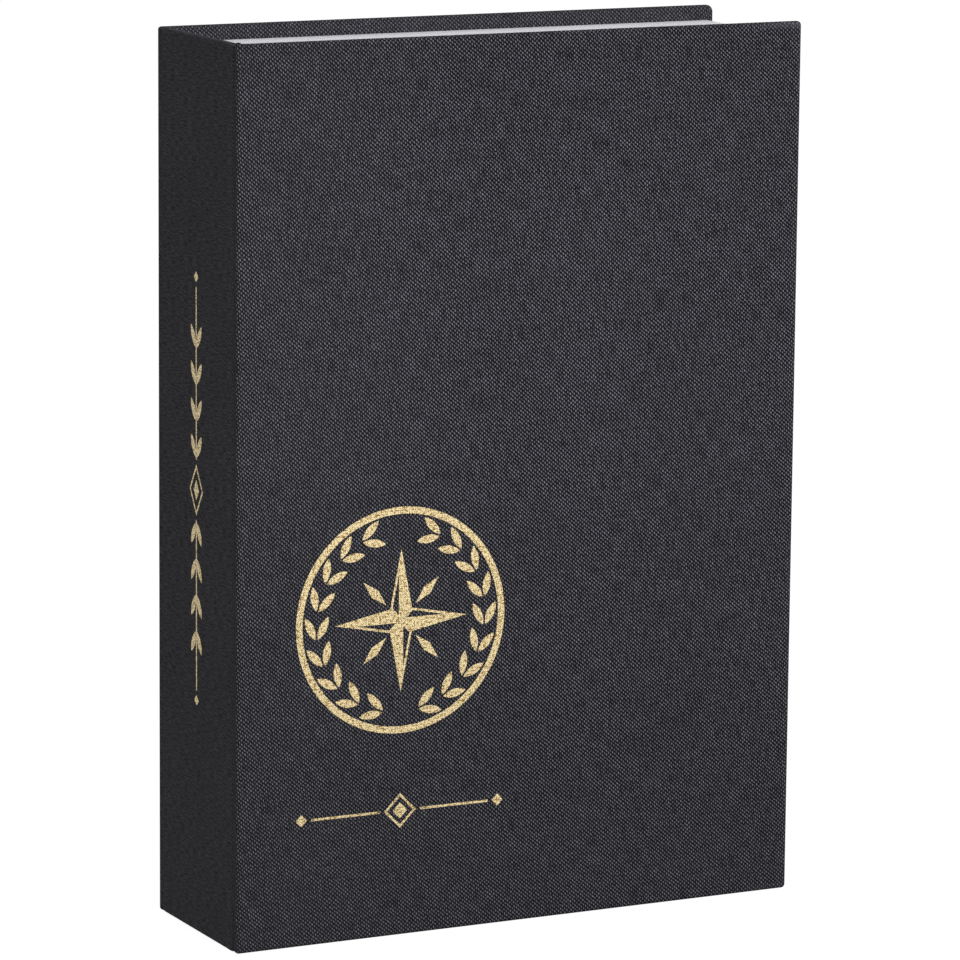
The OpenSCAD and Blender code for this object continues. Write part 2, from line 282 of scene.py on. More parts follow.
def threads(shader, warp_pitch, weft_pitch, lean, wander):
    """Column and row of the weave at each point, counted in threads that wander by some of their width,
    slowly over centimetres and quickly from thread to thread."""
    u, v = shader.sheet()
    drift_u, drift_v = (
        shader.noise(u * 70, v * 70, slow) + shader.noise(u * 600, v * 600, quick) * 0.8 - 0.9
        for slow, quick in ((0.0, 2.0), (9.0, 11.0))
    )
    return (u + v * lean) / warp_pitch + drift_u * wander, v / weft_pitch + drift_v * wander


def floats(column, row, slant):
    """The chessboard of floats: half the sum of a cosine of column plus row and one of column minus row,
    the first of them stronger by the slant and the second weaker."""
    rising = ((column + row) * math.pi).cos() * (0.5 + slant)
    falling = ((column - row) * math.pi).cos() * (0.5 - slant)
    return rising + falling


def book_weave(shader):
    """Column, row and chessboard of the linen, for the cloth and for the foil on it."""
    column, row = threads(shader, WARP_PITCH, WEFT_PITCH, WARP_LEAN, WANDER)
    return column, row, floats(column, row, YARN_SLANT)


def thread_shades(shader, column, row):
    """Shades that differ from thread to thread, about 1 on average, for the warp and for the weft."""
    u, v = shader.sheet()
    warp = shader.noise(column, v * 120, detail=1.0) * 1.9 + 0.05
    weft = shader.noise(u * 120, row, 5.0, detail=1.0) * 1.5 + 0.25
    return warp, weft


# %% Linen
BLACK_YARN = (0.0050, 0.0050, 0.0060)
LIGHT_YARN = (0.192, 0.191, 0.224)
RUBBED_YARN = (0.194, 0.190, 0.209)


def linen():
    """The weave and its vertices' values: pressing, painted shade, and wear with a painted highlight."""
    shader = Shader("linen")
    column, row, board = book_weave(shader)
    warp_shade, weft_shade = thread_shades(shader, column, row)
    u, v = shader.sheet()
    pressed, painted_shade, worn = (shader.attribute(name) for name in ("pressed", "painted_shade", "worn"))
    between_warps = (column * 2 * math.pi).cos() * 0.54 + 0.54
    patches = shader.noise(u * 25, v * 25, 3.0, detail=3.0) * 0.3 + 0.85
    fibres = shader.noise(u * 1500, v * 1100, 6.0) * 0.8 + 0.6
    dots = board.smooth(-0.82, 1.34) * between_warps * warp_shade * weft_shade * fibres
    rubbed = shader.noise(u * 260, v * 1900, 8.0, detail=3.0, roughness=0.6) * 0.74 - 0.217
    frayed = shader.noise(u * 500, v * 500, 13.0, detail=3.0) * 0.6
    plain = rubbed * pressed + dots * (1 - pressed * 0.78)
    # Wear and a painted highlight: frayed light threads along the covers' edges, most at the corners.
    plain = plain * (1 - worn * 0.3) + frayed * worn
    # Painted shade: the light threads are darkened in the joints' grooves and on the arrises.
    light = plain * patches * (1 - painted_shade)
    height = abs(board) ** 0.6 * weft_shade * (1 - pressed * 0.7)
    return shader.finish(
        Base_Color=light.mix(BLACK_YARN, pressed.mix(LIGHT_YARN, RUBBED_YARN)),
        Roughness=0.9,
        Specular_IOR_Level=0.05,
        Normal=shader.bump(height, 0.12 * MM, 0.5),
    )


# %% [markdown]
# ## Hinge cloth, paper, board, tape and steel
# The strip inside the joint is a much finer cloth. The covering paper is nearly plain: short fibres give
# it a faint tooth, and its colour wanders a little. Grey board shows its pulp in flecks. These patterns
# follow no thread, so they read Object coordinates. So does the wear: fingers tone the paper where they
# open the box, and the hinge cloth frays along its fold.

# %% Hinge cloth
FINE_WARP = 0.42 * MM
FINE_WEFT = 0.40 * MM


def hinge_cloth():
    """A fine, even weave, which frays within some millimetres of the fold."""
    shader = Shader("hinge_cloth")
    column, row = threads(shader, FINE_WARP, FINE_WEFT, 0.0, 0.4)
    board = floats(column, row, 0.0)
    warp_shade, weft_shade = thread_shades(shader, column, row)
    x, y, z = shader.place()
    from_fold = (abs(x - corner[0]) + abs(y - (corner[1] + fold_y))) / MM
    frayed = (1 - from_fold.smooth(1.5, 6.0)) * shader.noise(y * 900, z * 900)
    light = board.smooth(-0.6, 1.0) * warp_shade + frayed * 0.8
    return shader.finish(
        Base_Color=light.mix((0.010, 0.010, 0.012), (0.045, 0.045, 0.052)),
        Roughness=0.85,
        Specular_IOR_Level=0.15,
        Normal=shader.bump(abs(board) * weft_shade, 0.05 * MM, 0.5),
    )


# %% Paper
FINGER_MARKS = (0.55, 0.52, 0.48)


def paper(name, low, high, tooth, handled=None):
    """Paper whose colour wanders between low and high. tooth is the strength of its surface. handled is
    the axis and the place of an edge that is toned by fingers."""
    shader = Shader(name)
    x, y, z = shader.place()
    cloud = shader.noise(x * 40, y * 40, z * 40, detail=3.0)
    fibre = shader.noise(x * 900, y * 900, z * 900, detail=4.0, roughness=0.65)
    colour = (cloud * 0.25 + fibre * 0.75).smooth(0.25, 0.75).mix(low, high)
    if handled:
        axis, edge = handled
        away = abs((x, y, z)[axis] - edge) / MM
        marks = (1 - away.smooth(0.0, 5.0)) * fibre.smooth(0.3, 0.7) * cloud
        colour = marks.mix(colour, FINGER_MARKS)
    return shader.finish(
        Base_Color=colour,
        Roughness=0.8 - fibre * 0.1,
        Specular_IOR_Level=0.25,
        Normal=shader.bump(fibre, 0.06 * MM, tooth),
    )


# %% Grey board
def grey_board():
    """Pulp in two greys, with dark flecks."""
    shader = Shader("grey_board")
    x, y, z = shader.place()
    pulp = shader.noise(x * 300, y * 300, z * 300, detail=5.0, roughness=0.7)
    fleck = shader.noise(x * 1200, y * 1200, z * 1200, detail=1.0).smooth(0.62, 0.70)
    tone = pulp.smooth(0.3, 0.7).mix((0.26, 0.24, 0.21), (0.40, 0.37, 0.32))
    return shader.finish(
        Base_Color=fleck.mix(tone, (0.12, 0.10, 0.08)),
        Roughness=0.95,
        Specular_IOR_Level=0.15,
        Normal=shader.bump(pulp, 0.15 * MM, 0.5),
    )


# %% Magnet steel
def magnet_steel():
    """Nickel that was brushed along the magnet's length."""
    shader = Shader("magnet_steel")
    x, y, z = shader.place()
    brushed = shader.noise(x * 3000, y * 3000, z * 60)
    return shader.finish(
        Base_Color=brushed.mix((0.55, 0.56, 0.58), (0.68, 0.69, 0.71)),
        Metallic=1.0,
        Roughness=brushed * 0.2 + 0.25,
        Normal=shader.bump(brushed, 0.01 * MM, 0.2),
    )


# %% [markdown]
# ## Gold foil
# Hot foil sticks to the tops of the threads and thins out in the hollows between them, so the linen's
# chessboard shows through it as a fine grid. At the outline the foil breaks off along the threads.

# %% Foil
def gold_foil():
    """Gold where the foil is held, and the brown of its glue where it is thin or broken off."""
    shader = Shader("gold_foil")
    column, row, board = book_weave(shader)
    u, v = shader.sheet()
    grain = shader.noise(u * 1800, v * 1800)
    warp_glints = shader.noise(column * 1.4, v * 600, 21.0, detail=1.0)
    weft_glints = shader.noise(u * 600, row * 1.4, 24.0, detail=1.0)
    float_top = abs(board).smooth(0.0, 0.6)
    from_edge = shader.attribute("from_edge") / MM
    worn = (from_edge + (grain - 0.5) * 1.1 + float_top * 0.35).smooth(0.05, 0.35)
    held = (float_top * 0.6 + (grain - 0.5) * 2.2 + 0.25).smooth(0.0, 0.85) * worn
    shade = (warp_glints + weft_glints + grain * 0.6).smooth(0.99, 1.41)
    gold = shade.mix((0.295, 0.155, 0.022), (1.0, 0.82, 0.465))
    return shader.finish(
        Base_Color=held.mix((0.06, 0.04, 0.014), gold),
        Metallic=held * 0.35,
        Roughness=0.5 - grain * 0.1,
        Specular_IOR_Level=0.2,
        Normal=shader.bump(float_top + grain * 0.5, 0.08 * MM, 0.5),
    )


# %% Make the materials
LINEN = linen()
HINGE_CLOTH = hinge_cloth()
TRAY_RIM = (1, corners("tray_wrap")[0][1])
LINING_EDGE = (0, corners("front_lining")[1][0])
TRAY_PAPER = paper("tray_paper", (0.757, 0.753, 0.787), (0.837, 0.833, 0.862), 0.35, TRAY_RIM)
LINING_PAPER = paper("lining_paper", (0.745, 0.752, 0.775), (0.83, 0.837, 0.857), 0.35, LINING_EDGE)
STAY_TAPE = paper("stay_tape", (0.42, 0.27, 0.13), (0.62, 0.44, 0.24), 0.5)
GREY_BOARD = grey_board()
MAGNET_STEEL = magnet_steel()
GOLD_FOIL = gold_foil()
print("materials:", sorted(m.name for m in bpy.data.materials))

# %% [markdown]
# ## Surfaces from arrays
# Every new piece is a few grids of points, worked out with numpy as whole arrays. Quads follow from their
# rows and columns. Grids of one piece meet edge to edge, and merging their doubles closes the piece into
# one skin. Each corner of a quad also carries its place on the flat sheet, for the weave.

# %% Points and steps
def places(*axes):
    """Points from their coordinates: arrays, or numbers where all the points share one."""
    return np.stack(np.broadcast_arrays(*axes), -1)


def distance_along(points):
    """Distance along a line at each of its points."""
    return np.concatenate([[0], np.cumsum(np.linalg.norm(np.diff(points, axis=0), axis=1))])


def arc_points(centre, radius, start, sweep=90, count=5):
    """Points of an arc, whose start and sweep are in degrees."""
    turn = np.radians(np.linspace(start, start + sweep, count))
    return np.asarray(centre) + radius * places(np.cos(turn), np.sin(turn))


def carried(line, heights):
    """A line across the box, carried to each height."""
    return places(line[:, None, 0], line[:, None, 1], heights)


def smooth_step(x, start, width):
    """0 up to start and 1 from a width beyond it, with the rise 3 t^2 - 2 t^3 between them."""
    t = np.clip((x - start) / width, 0, 1)
    return t * t * (3 - 2 * t)


def bell(x, middle, reach):
    """A bell of height 1: e to the power of minus the square of the distance in reaches."""
    return np.exp(-(((x - middle) / reach) ** 2))


# %% Grids into meshes
MERGE = 2e-6
SOFT_ANGLE = math.radians(40)


def patch(points, sheet, wrap=False):
    """Quads between the rows and columns of a grid of points. wrap joins its last row to its first."""
    rows, columns = points.shape[:2]
    number = np.arange(rows * columns).reshape(rows, columns)
    if wrap:
        number = np.vstack([number, number[:1]])
    quads = np.stack([number[:-1, :-1], number[1:, :-1], number[1:, 1:], number[:-1, 1:]], -1)
    quads = quads.reshape(-1, 4)
    return points.reshape(-1, 3), quads, sheet.reshape(-1, 2)[quads]


def make_mesh(name, points, faces, sheet, material, skin=True):
    """One object, with its faces turned outwards. In a skin the doubles are merged, and only folds that
    are sharper than the soft angle keep a hard edge."""
    mesh = bpy.data.meshes.new(name)
    mesh.from_pydata((points + corner).tolist(), [], faces)
    mesh.uv_layers.new(name=SHEET_MAP).data.foreach_set("uv", sheet.astype(np.float32).ravel())
    tidy = bmesh.new()
    tidy.from_mesh(mesh)
    if skin:
        bmesh.ops.remove_doubles(tidy, verts=tidy.verts, dist=MERGE)
        bmesh.ops.dissolve_degenerate(tidy, edges=tidy.edges, dist=MERGE)
    bmesh.ops.recalc_face_normals(tidy, faces=tidy.faces)
    open_edges = sum(not edge.is_manifold for edge in tidy.edges)
    tidy.to_mesh(mesh)
    tidy.free()
    mesh.materials.append(material)
    if skin:
        mesh.shade_smooth()
        mesh.set_sharp_from_angle(angle=SOFT_ANGLE)
    print(f"{name}: {len(mesh.polygons)} faces, {open_edges} open edges")
    return add_object(name, mesh)


def make_piece(name, patches, material):
    """One skin of patches."""
    starts = np.cumsum([0] + [len(p[0]) for p in patches[:-1]])
    points, sheet = (np.concatenate([p[part] for p in patches]) for part in (0, 2))
    quads = np.concatenate([p[1] + start for p, start in zip(patches, starts)])
    return make_mesh(name, points, quads.tolist(), sheet, material)


def mark(piece, name, values):
    """A value for each vertex, which the material reads as an attribute."""
    piece.data.attributes.new(name, "FLOAT", "POINT").data.foreach_set("value", values.astype(np.float32))


# %% [markdown]
# ## The case: one sheet round three boards
# The cloth runs over the front cover, round the fold, over the spine and over the back cover, and all its
# edges are turned in by 15.5 mm. Two lines across the box hold that shape: the outer line, which the
# cloth's face follows, and the inner line, which it follows once it has been turned over the boards'
# edges. A point of the cloth lies between the two at its depth, and its inset is the way in from the end.
#
# The front cover's edge lies a little deeper than the spine, and along the fold the cloth sinks between
# the boards and comes back in a soft slope. The back joint is glued and sinks less.

# %% The outer and the inner line
EDGE_R = 1.0 * MM
EDGE_ZONE = 3.0 * MM
TURN_IN = 15.5 * MM
FOLD_FLOOR = 0.80 * MM
EDGE_SUNK = 0.34 * MM
BACK_JOINT = box_t - cover_t


def crease(y):
    """Depth of the cloth below the spine's face: the cover's sunk edge that fades out on the spine, a
    narrow groove on the fold with a low ridge behind it, and a faint groove at the back joint."""
    edge = EDGE_SUNK * (1 - smooth_step(y, fold_y, 2.6 * MM))
    groove = 0.30 * MM * bell(y, fold_y, 0.6 * MM) - 0.16 * MM * bell(y, 6.0 * MM, 1.6 * MM)
    return edge + groove + 0.16 * MM * bell(y, BACK_JOINT, 1.0 * MM)


def notch(y):
    """How far the head and tail edges sink where the cloth bridges the gaps between the boards."""
    return 0.75 * MM * bell(y, fold_y, 0.65 * MM) + 0.7 * MM * bell(y, BACK_JOINT, 0.55 * MM)


def ridge(x, y):
    """How far the cloth stands up at the head of the front joint, where its fold was turned in."""
    return 0.5 * MM * bell(np.hypot(x - 1.5 * MM, y), 0, 1.0 * MM)


def case_lines():
    """Outer line and inner line at the same points, from the front fore edge round to the back one."""
    far = cover_w - EDGE_ZONE
    flat_x = np.concatenate([np.linspace(far, 5.5 * MM, 36), np.array([4.0, 2.8, 1.9]) * MM, [EDGE_R]])
    arc = arc_points((EDGE_R, EDGE_R), EDGE_R, -90, -90, 10)[1:-1]
    front_x = flat_x + EDGE_SUNK * (far - flat_x) / (far - EDGE_R)
    edge_y = np.array([1.0, 1.5, 2.0, 2.5, 2.9]) * MM
    fold = np.linspace(cover_t, spine_y, 8)
    joint_y = np.array([3.5, 3.8, 4.3, 5.0, 6.0, 7.5, 9.5]) * MM
    plain_y = np.linspace(13 * MM, box_t - 11 * MM, 10)
    back_y = BACK_JOINT - np.array([4.5, 2.5, 1.6, 1.0, 0.6, 0.2]) * MM
    rear_y = box_t - np.array([2.4, 1.7, 1.0]) * MM
    between = np.concatenate([joint_y, plain_y, back_y])
    spine = np.concatenate([edge_y, fold, between, rear_y])
    outer = np.concatenate([
        places(front_x, 0),
        arc + [EDGE_SUNK, 0],
        places(crease(spine), spine),
        (arc * [1, -1] + [0, box_t])[::-1],
        places(flat_x, box_t)[::-1],
    ])
    inner = np.concatenate([
        places(flat_x, cover_t),
        np.repeat([[cover_t, cover_t]], len(arc) + len(edge_y), 0),
        places(FOLD_FLOOR, fold),
        places(cover_t, np.maximum(between, spine_y)),
        np.repeat([[cover_t, BACK_JOINT]], len(rear_y) + len(arc), 0),
        places(flat_x, BACK_JOINT)[::-1],
    ])
    return outer, inner


outer_line, inner_line = case_lines()
along_sheet = cover_w - EDGE_ZONE - distance_along(outer_line)
print("case line:", len(outer_line), "points")

# %% [markdown]
# Distance along the sheet is 0 at the front cover's spine edge, and falls on the spine and the back.
#
# The profile is the way of the cloth's skin from the outer face round an edge to the cut end of the
# turn-in, and back along the glued side. It is carried round the sheet, along head, tail and both fore
# edges. It turns with the rounded corners, and on the inside its halves meet in a mitre, as folded cloth.

# %% The profile round an edge
GLUED_T = 0.9 * cloth_t


def edge_profile():
    """Inset and depth of each point of the cloth's skin."""
    arris = EDGE_R + 0.5 * MM
    round_out = arc_points((EDGE_R, EDGE_R), EDGE_R, -90, -90, 6)
    round_in = (round_out * [1, -1] + [0, cover_t])[::-1]
    glued = cover_t - GLUED_T
    return np.concatenate([
        places([EDGE_ZONE, arris], 0),
        round_out,
        round_in,
        places([arris, EDGE_ZONE, 0.4 * TURN_IN, 0.7 * TURN_IN, TURN_IN], cover_t),
        places([TURN_IN, 0.6 * TURN_IN, EDGE_ZONE, GLUED_T], glued),
        places([GLUED_T, EDGE_ZONE], GLUED_T),
    ])


profile = edge_profile()
inset, depth = profile.T
beyond = distance_along(profile)

# %% Points of the sheet
FRONT_CORNER_R = 1.5 * MM
BACK_CORNER_R = 2.6 * MM
HEIGHTS = np.linspace(EDGE_ZONE, cover_h - EDGE_ZONE, 45)


def across(depth_at, inset_at=0.0):
    """Points of the case's lines at a depth, drawn in at the fore edges to clear a larger inset."""
    line = outer_line + (inner_line - outer_line) * (depth_at / cover_t)
    last = cover_w - np.maximum(EDGE_ZONE, inset_at)
    x = line[:, 0]
    scale = (last - cover_t) / (cover_w - EDGE_ZONE - cover_t)
    return places(np.where(x > cover_t, cover_t + (x - cover_t) * scale, x), line[:, 1])


def head_run(top):
    """The profile along the head or the tail: one row for each point of the case's lines. The notches
    over the joints, and the ridge at the head, fade out with the inset."""
    flat = np.stack([across(d, i) for i, d in profile], 1)
    x, y = outer_line[:, :1], outer_line[:, 1:]
    sunk = notch(y) - ridge(x, y) if top else notch(y)
    z = inset + sunk * (1 - smooth_step(inset, 0.0, EDGE_ZONE))
    return places(flat[..., 0], flat[..., 1], cover_h - z if top else z)


def fore_run(front):
    """The profile along a fore edge: one row for each height, drawn in to clear a larger inset."""
    half = cover_h / 2
    scale = (half - np.maximum(EDGE_ZONE, inset)) / (half - EDGE_ZONE)
    z = half + (HEIGHTS[:, None] - half) * scale
    return places(cover_w - inset, depth if front else box_t - depth, z)


def corner_run(front, top):
    """The profile round a corner, from head or tail to the fore edge, with a straight stretch on both
    sides of the arc. The corner's radius shrinks with the inset, down to a sharp mitre."""
    radius = FRONT_CORNER_R if front else BACK_CORNER_R
    turn = np.radians(np.linspace(90, 0, 9))[:, None]
    middle = np.maximum(radius, inset)
    small = np.maximum(radius - inset, 0)
    zone = np.maximum(EDGE_ZONE, inset)
    from_side = np.vstack([zone, middle - small * np.cos(turn), inset])
    from_end = np.vstack([inset, middle - small * np.sin(turn), zone])
    z = cover_h - from_end if top else from_end
    return places(cover_w - from_side, depth if front else box_t - depth, z)


# %% [markdown]
# The weave needs the flat sheet's coordinates. On the faces they are the distance along the case's line
# and the height. Beyond an edge they go on by the distance along the profile, so each thread runs over
# the edge without a jump.

# %% The cloth of the case
def flat_u(points):
    """Distance along the sheet of points on the front or back cover, from their place across it."""
    spare = along_sheet[-1] + cover_w - EDGE_ZONE
    return np.where(points[..., 1] < box_t / 2, points[..., 0], spare - points[..., 0])


def rim_patches():
    """The rim of the sheet, as runs of profiles in order round it, each with its place on the sheet."""
    end_v = {True: cover_h - EDGE_ZONE + beyond, False: EDGE_ZONE - beyond}
    side_u = {True: cover_w - EDGE_ZONE + beyond, False: along_sheet[-1] - beyond}
    patches = []
    for top in (True, False):
        run = head_run(top)
        u = np.where(run[..., 0] > 2 * cover_t, flat_u(run), along_sheet[:, None])
        patches.append(patch(run, places(u, end_v[top])))
    for front in (True, False):
        run = fore_run(front)
        patches.append(patch(run, places(side_u[front], run[..., 2])))
        for top in (True, False):
            run = corner_run(front, top)
            on_end = places(flat_u(run), end_v[top])
            on_side = places(side_u[front], run[..., 2])
            half = len(run) // 2
            patches.append(patch(run[: half + 1], on_end[: half + 1]))
            patches.append(patch(run[half:], on_side[half:]))
    return patches


def face_patch(depth_at):
    """The sheet between the edge zones, at a depth."""
    points = carried(across(depth_at), HEIGHTS)
    return patch(points, places(along_sheet[:, None], points[..., 2]))


book_cloth = make_piece("book_cloth", [face_patch(0), face_patch(GLUED_T)] + rim_patches(), LINEN)

# %% How the cloth was rubbed and worn, and where shade and a highlight are painted
TURN_IN_PRESSED = 0.35
JOINT_PRESSED = 0.20
TAIL_PRESSED = 0.12
# Wear along the covers' edges, which also paints a highlight there.
END_WEAR_AND_HIGHLIGHT = 0.02
FORE_WEAR_AND_HIGHLIGHT = 0.10
CORNER_WEAR_AND_HIGHLIGHT = 0.9
TAIL_SHARE = 0.3


def mark_cloth(piece):
    """pressed is 1 on the spine, less on the turned in cloth, and fades over some centimetres from the
    joints and the tail. The painted shade is the share of light thread that is taken away in the joints'
    grooves and on the arrises. worn is wear and a painted highlight: strong near the corners, less at the
    fore edge and slight at the tail."""
    point = np.zeros(len(piece.data.vertices) * 3, np.float32)
    piece.data.vertices.foreach_get("co", point)
    x, y, z = (point.reshape(-1, 3) - corner).T
    deep = np.minimum(x, np.minimum(y, box_t - y))
    outside = 1 - smooth_step(x, 0.9 * cover_t, 0.5 * MM)
    behind = smooth_step(y, 0.3 * MM, 1.0 * MM) * (1 - smooth_step(y, box_t - 1.3 * MM, 1.0 * MM))
    turned_in = TURN_IN_PRESSED * smooth_step(deep, 1.2 * MM, 1.4 * MM)
    on_cover = JOINT_PRESSED * (1 - smooth_step(x, 0, 120 * MM))
    on_cover += TAIL_PRESSED * (1 - smooth_step(z, 0, 80 * MM))
    mark(piece, "pressed", np.maximum(np.maximum(behind * outside, turned_in), on_cover))
    from_end, from_fore = np.minimum(z, cover_h - z), cover_w - x
    at_corner = bell(np.hypot(from_end, from_fore), 0, 16 * MM)
    beside_end, beside_fore = (
        bell(np.hypot(away - 1.1 * MM, deep), 0, 0.9 * MM) for away in (from_end, from_fore)
    )
    share = TAIL_SHARE + (1 - TAIL_SHARE) * smooth_step(z, 6 * MM, 6 * MM)
    # Wear and a painted highlight along the head and the tail, strongest at the corners.
    end_wear_and_highlight = beside_end * share * (END_WEAR_AND_HIGHLIGHT + CORNER_WEAR_AND_HIGHLIGHT * at_corner)
    mark(piece, "worn", np.maximum(end_wear_and_highlight, beside_fore * FORE_WEAR_AND_HIGHLIGHT))
    # Painted shade in the joints' grooves and on the arrises.
    grooves = 0.38 * bell(y, 2.9 * MM, 1.0 * MM) + 0.15 * bell(y, BACK_JOINT, 1.0 * MM)
    from_arris = np.hypot(np.minimum(from_end, from_fore), np.minimum(deep, cover_t - deep))
    arrises = 0.2 * bell(from_arris, 0, 0.9 * MM) * (1 - at_corner)
    mark(piece, "painted_shade", np.maximum(grooves * outside, arrises))


mark_cloth(book_cloth)

# %% [markdown]
# ## The hinge strip
# A strip of fine black cloth is glued over the fold: from under the front lining it dips into the fold,
# comes back over the spine board's edge and runs down inside the spine. It is a slab between two lines,
# the side that shows and the glued side, carried up the box.

# %% A slab between two surfaces
def slab(name, top, bottom, sheet, material):
    """A closed sheet between two grids of the same size: both skins, and a rim along all four sides."""
    rims = [
        patch(np.stack([top[side], bottom[side]]), np.stack([sheet[side], sheet[side]]))
        for side in (np.s_[0], np.s_[-1], np.s_[:, 0], np.s_[:, -1])
    ]
    return make_piece(name, [patch(top, sheet), patch(bottom, sheet)] + rims, material)


# %% Hinge strip
strip_low, strip_high = in_case("hinge_strip_cover")
FOLD_MOUTH = 1.0 * MM
NOSE_R = 0.4 * MM


def hinge_strip():
    """The strip, with the width and the length that it was cut to. Its glued side passes the nose, where
    the strip rounds the board's edge, in even steps."""
    mouth = arc_points((FOLD_MOUTH, fold_y - 0.075 * MM), (spine_y - cover_t) / 2, -90, -180, 13)
    nose = arc_points((cover_t - NOSE_R, spine_y + NOSE_R), NOSE_R, -90)
    cover_x = np.linspace(strip_high[0], FOLD_MOUTH, 12)[:-1]
    leg_y = np.linspace(spine_y + 1.5 * MM, in_case("hinge_strip_spine")[1][1], 8)
    shown = np.concatenate([
        places(cover_x, cover_t),
        mouth,
        places(np.array([1.6, 2.2]) * MM, spine_y),
        nose,
        places(cover_t, leg_y),
    ])
    glued = np.concatenate([
        places(cover_x, strip_low[1]),
        places(cloth_t, mouth[:, 1]),
        places(np.linspace(cloth_t, cover_t - cloth_t, 2 + len(nose)), spine_y + cloth_t),
        places(cover_t - cloth_t, leg_y),
    ])
    heights = np.linspace(strip_low[2], strip_high[2], 40)
    along = distance_along(shown)
    sheet = places(along[:, None], heights)
    piece = slab("hinge_strip", carried(shown, heights), carried(glued, heights), sheet, HINGE_CLOTH)
    return piece, along[-1], heights[-1] - heights[0]


strip_piece, strip_width, strip_length = hinge_strip()

# %% [markdown]
# ## The front lining
# The white lining shows what lies under it: it is high over the turned in cloth and the hinge strip, and
# drops softly to the board inside them. So it is a height field, the product of four smooth steps.

# %% Pasted paper
lining_box = in_case("front_lining")
PAPER_T = lining_box[1][1] - cover_t
SKIN_T = 0.9 * PAPER_T
HAIR = 0.02 * MM
STEP_SOFT = 1.6 * MM


def lines_over(low, high, edges, spacing):
    """Even lines from low to high, with closer ones over the soft step at each edge."""
    even = np.linspace(low, high, int((high - low) / spacing) + 1)
    close = [x + np.linspace(-0.1, 1.1, 9) * STEP_SOFT for x in (edges[0], edges[1] - STEP_SOFT)]
    return np.unique(np.round(np.concatenate([even] + close), 6))


def inside_of(edges, x):
    """1 between the edges and 0 outside them, with a soft step at each."""
    return smooth_step(x, edges[0], STEP_SOFT) * (1 - smooth_step(x, edges[1] - STEP_SOFT, STEP_SOFT))


def pasted_paper(name, box, edges_x, edges_z, spacing, outer_y, inner_y, to_glue):
    """A sheet that fills the box in X and Z. Inside the edges it lies at inner_y, and round them at
    outer_y. to_glue is the way from the side that shows to the glued side."""
    low, high = box
    x = lines_over(low[0], high[0], edges_x, spacing)
    z = lines_over(low[2], high[2], edges_z, spacing)
    field = inside_of(edges_x, x)[:, None] * inside_of(edges_z, z)
    top = places(x[:, None], outer_y + (inner_y - outer_y) * field, z)
    return slab(name, top, top + [0, to_glue, 0], top[..., [0, 2]], LINING_PAPER)


# %% Front lining
lining_piece = pasted_paper(
    "front_lining_paper",
    lining_box,
    (strip_high[0], cover_w - TURN_IN),
    (TURN_IN, cover_h - TURN_IN),
    spacing=5 * MM,
    outer_y=cover_t + PAPER_T,
    inner_y=cover_t + PAPER_T - cloth_t + HAIR,
    to_glue=-SKIN_T,
)

# %% [markdown]
# ## The tray's covering paper
# One strip of white paper wraps the tray's walls: it starts under the floor, comes up the outside, goes
# over the rim, down the inside and a little way over the floor. That is a profile carried round a
# rectangle. Its corners are rounded by the paper's stiffness, and shrink to a mitre inwards.

# %% Tray paper
tray_low, tray_high = in_case("tray_wrap")
floor_low, floor_high = in_case("tray_floor_lining")
WALL_T = in_case("tray_spine_wall")[1][0] - tray_low[0] + PAPER_T
TRAY_CORNER_R = 0.35 * MM
TRAY_EDGE_R = 0.5 * MM
UNDER_FLOOR = 15 * MM
ON_FLOOR = 12 * MM


def tray_profile():
    """Inset from the tray's outside and Y of the paper's skin, once round its thickness."""
    r, rim, under, floor = TRAY_EDGE_R, tray_low[1], tray_high[1], floor_high[1]
    end, inside = WALL_T + ON_FLOOR, WALL_T - SKIN_T
    return np.concatenate([
        places([UNDER_FLOOR, 4 * MM], under),
        arc_points((r, under - r), r, 90),
        arc_points((r, rim + r), r, 180),
        arc_points((WALL_T - r, rim + r), r, 270),
        [[WALL_T, floor - 0.6 * MM], [WALL_T + 0.25 * MM, floor - 0.2 * MM]],
        places([WALL_T + 0.6 * MM, end], floor - PAPER_T),
        places([end, inside], floor - HAIR),
        places([inside, SKIN_T], rim + SKIN_T),
        places([SKIN_T, 4 * MM, UNDER_FLOOR], under - SKIN_T),
        [[UNDER_FLOOR, under]],
    ])


def tray_paper():
    """The profile round a rectangle: arcs whose radius shrinks with the inset, and even steps between."""
    loop = tray_profile()
    inset_at, y = loop.T
    middle = np.maximum(TRAY_CORNER_R, inset_at)
    small = np.maximum(TRAY_CORNER_R - inset_at, 0)
    low_x, high_x = tray_low[0] + middle, tray_high[0] - middle
    low_z, high_z = tray_low[2] + middle, tray_high[2] - middle
    centres = [(high_x, high_z), (low_x, high_z), (low_x, low_z), (high_x, low_z)]

    def at_corner(number, turn):
        x, z = centres[number % 4]
        return places(x + small * np.cos(turn), y, z + small * np.sin(turn))

    rows = []
    for quarter in range(4):
        turn = np.radians(np.linspace(90 * quarter, 90 * quarter + 90, 7))[:, None]
        arc = at_corner(quarter, turn)
        way = at_corner(quarter + 1, turn[-1]) - arc[-1]
        rows += [arc, arc[-1] + way * np.linspace(0, 1, 20)[1:-1, None, None]]
    points = np.concatenate(rows)
    sheet = places(distance_along(points[:, 0])[:, None], distance_along(loop))
    return make_piece("tray_paper", [patch(points, sheet, wrap=True)], TRAY_PAPER)


tray_piece = tray_paper()

# %% [markdown]
# ## The floor paper
# A sheet of the same paper covers the tray's floor, and is a little higher over the walls' paper.

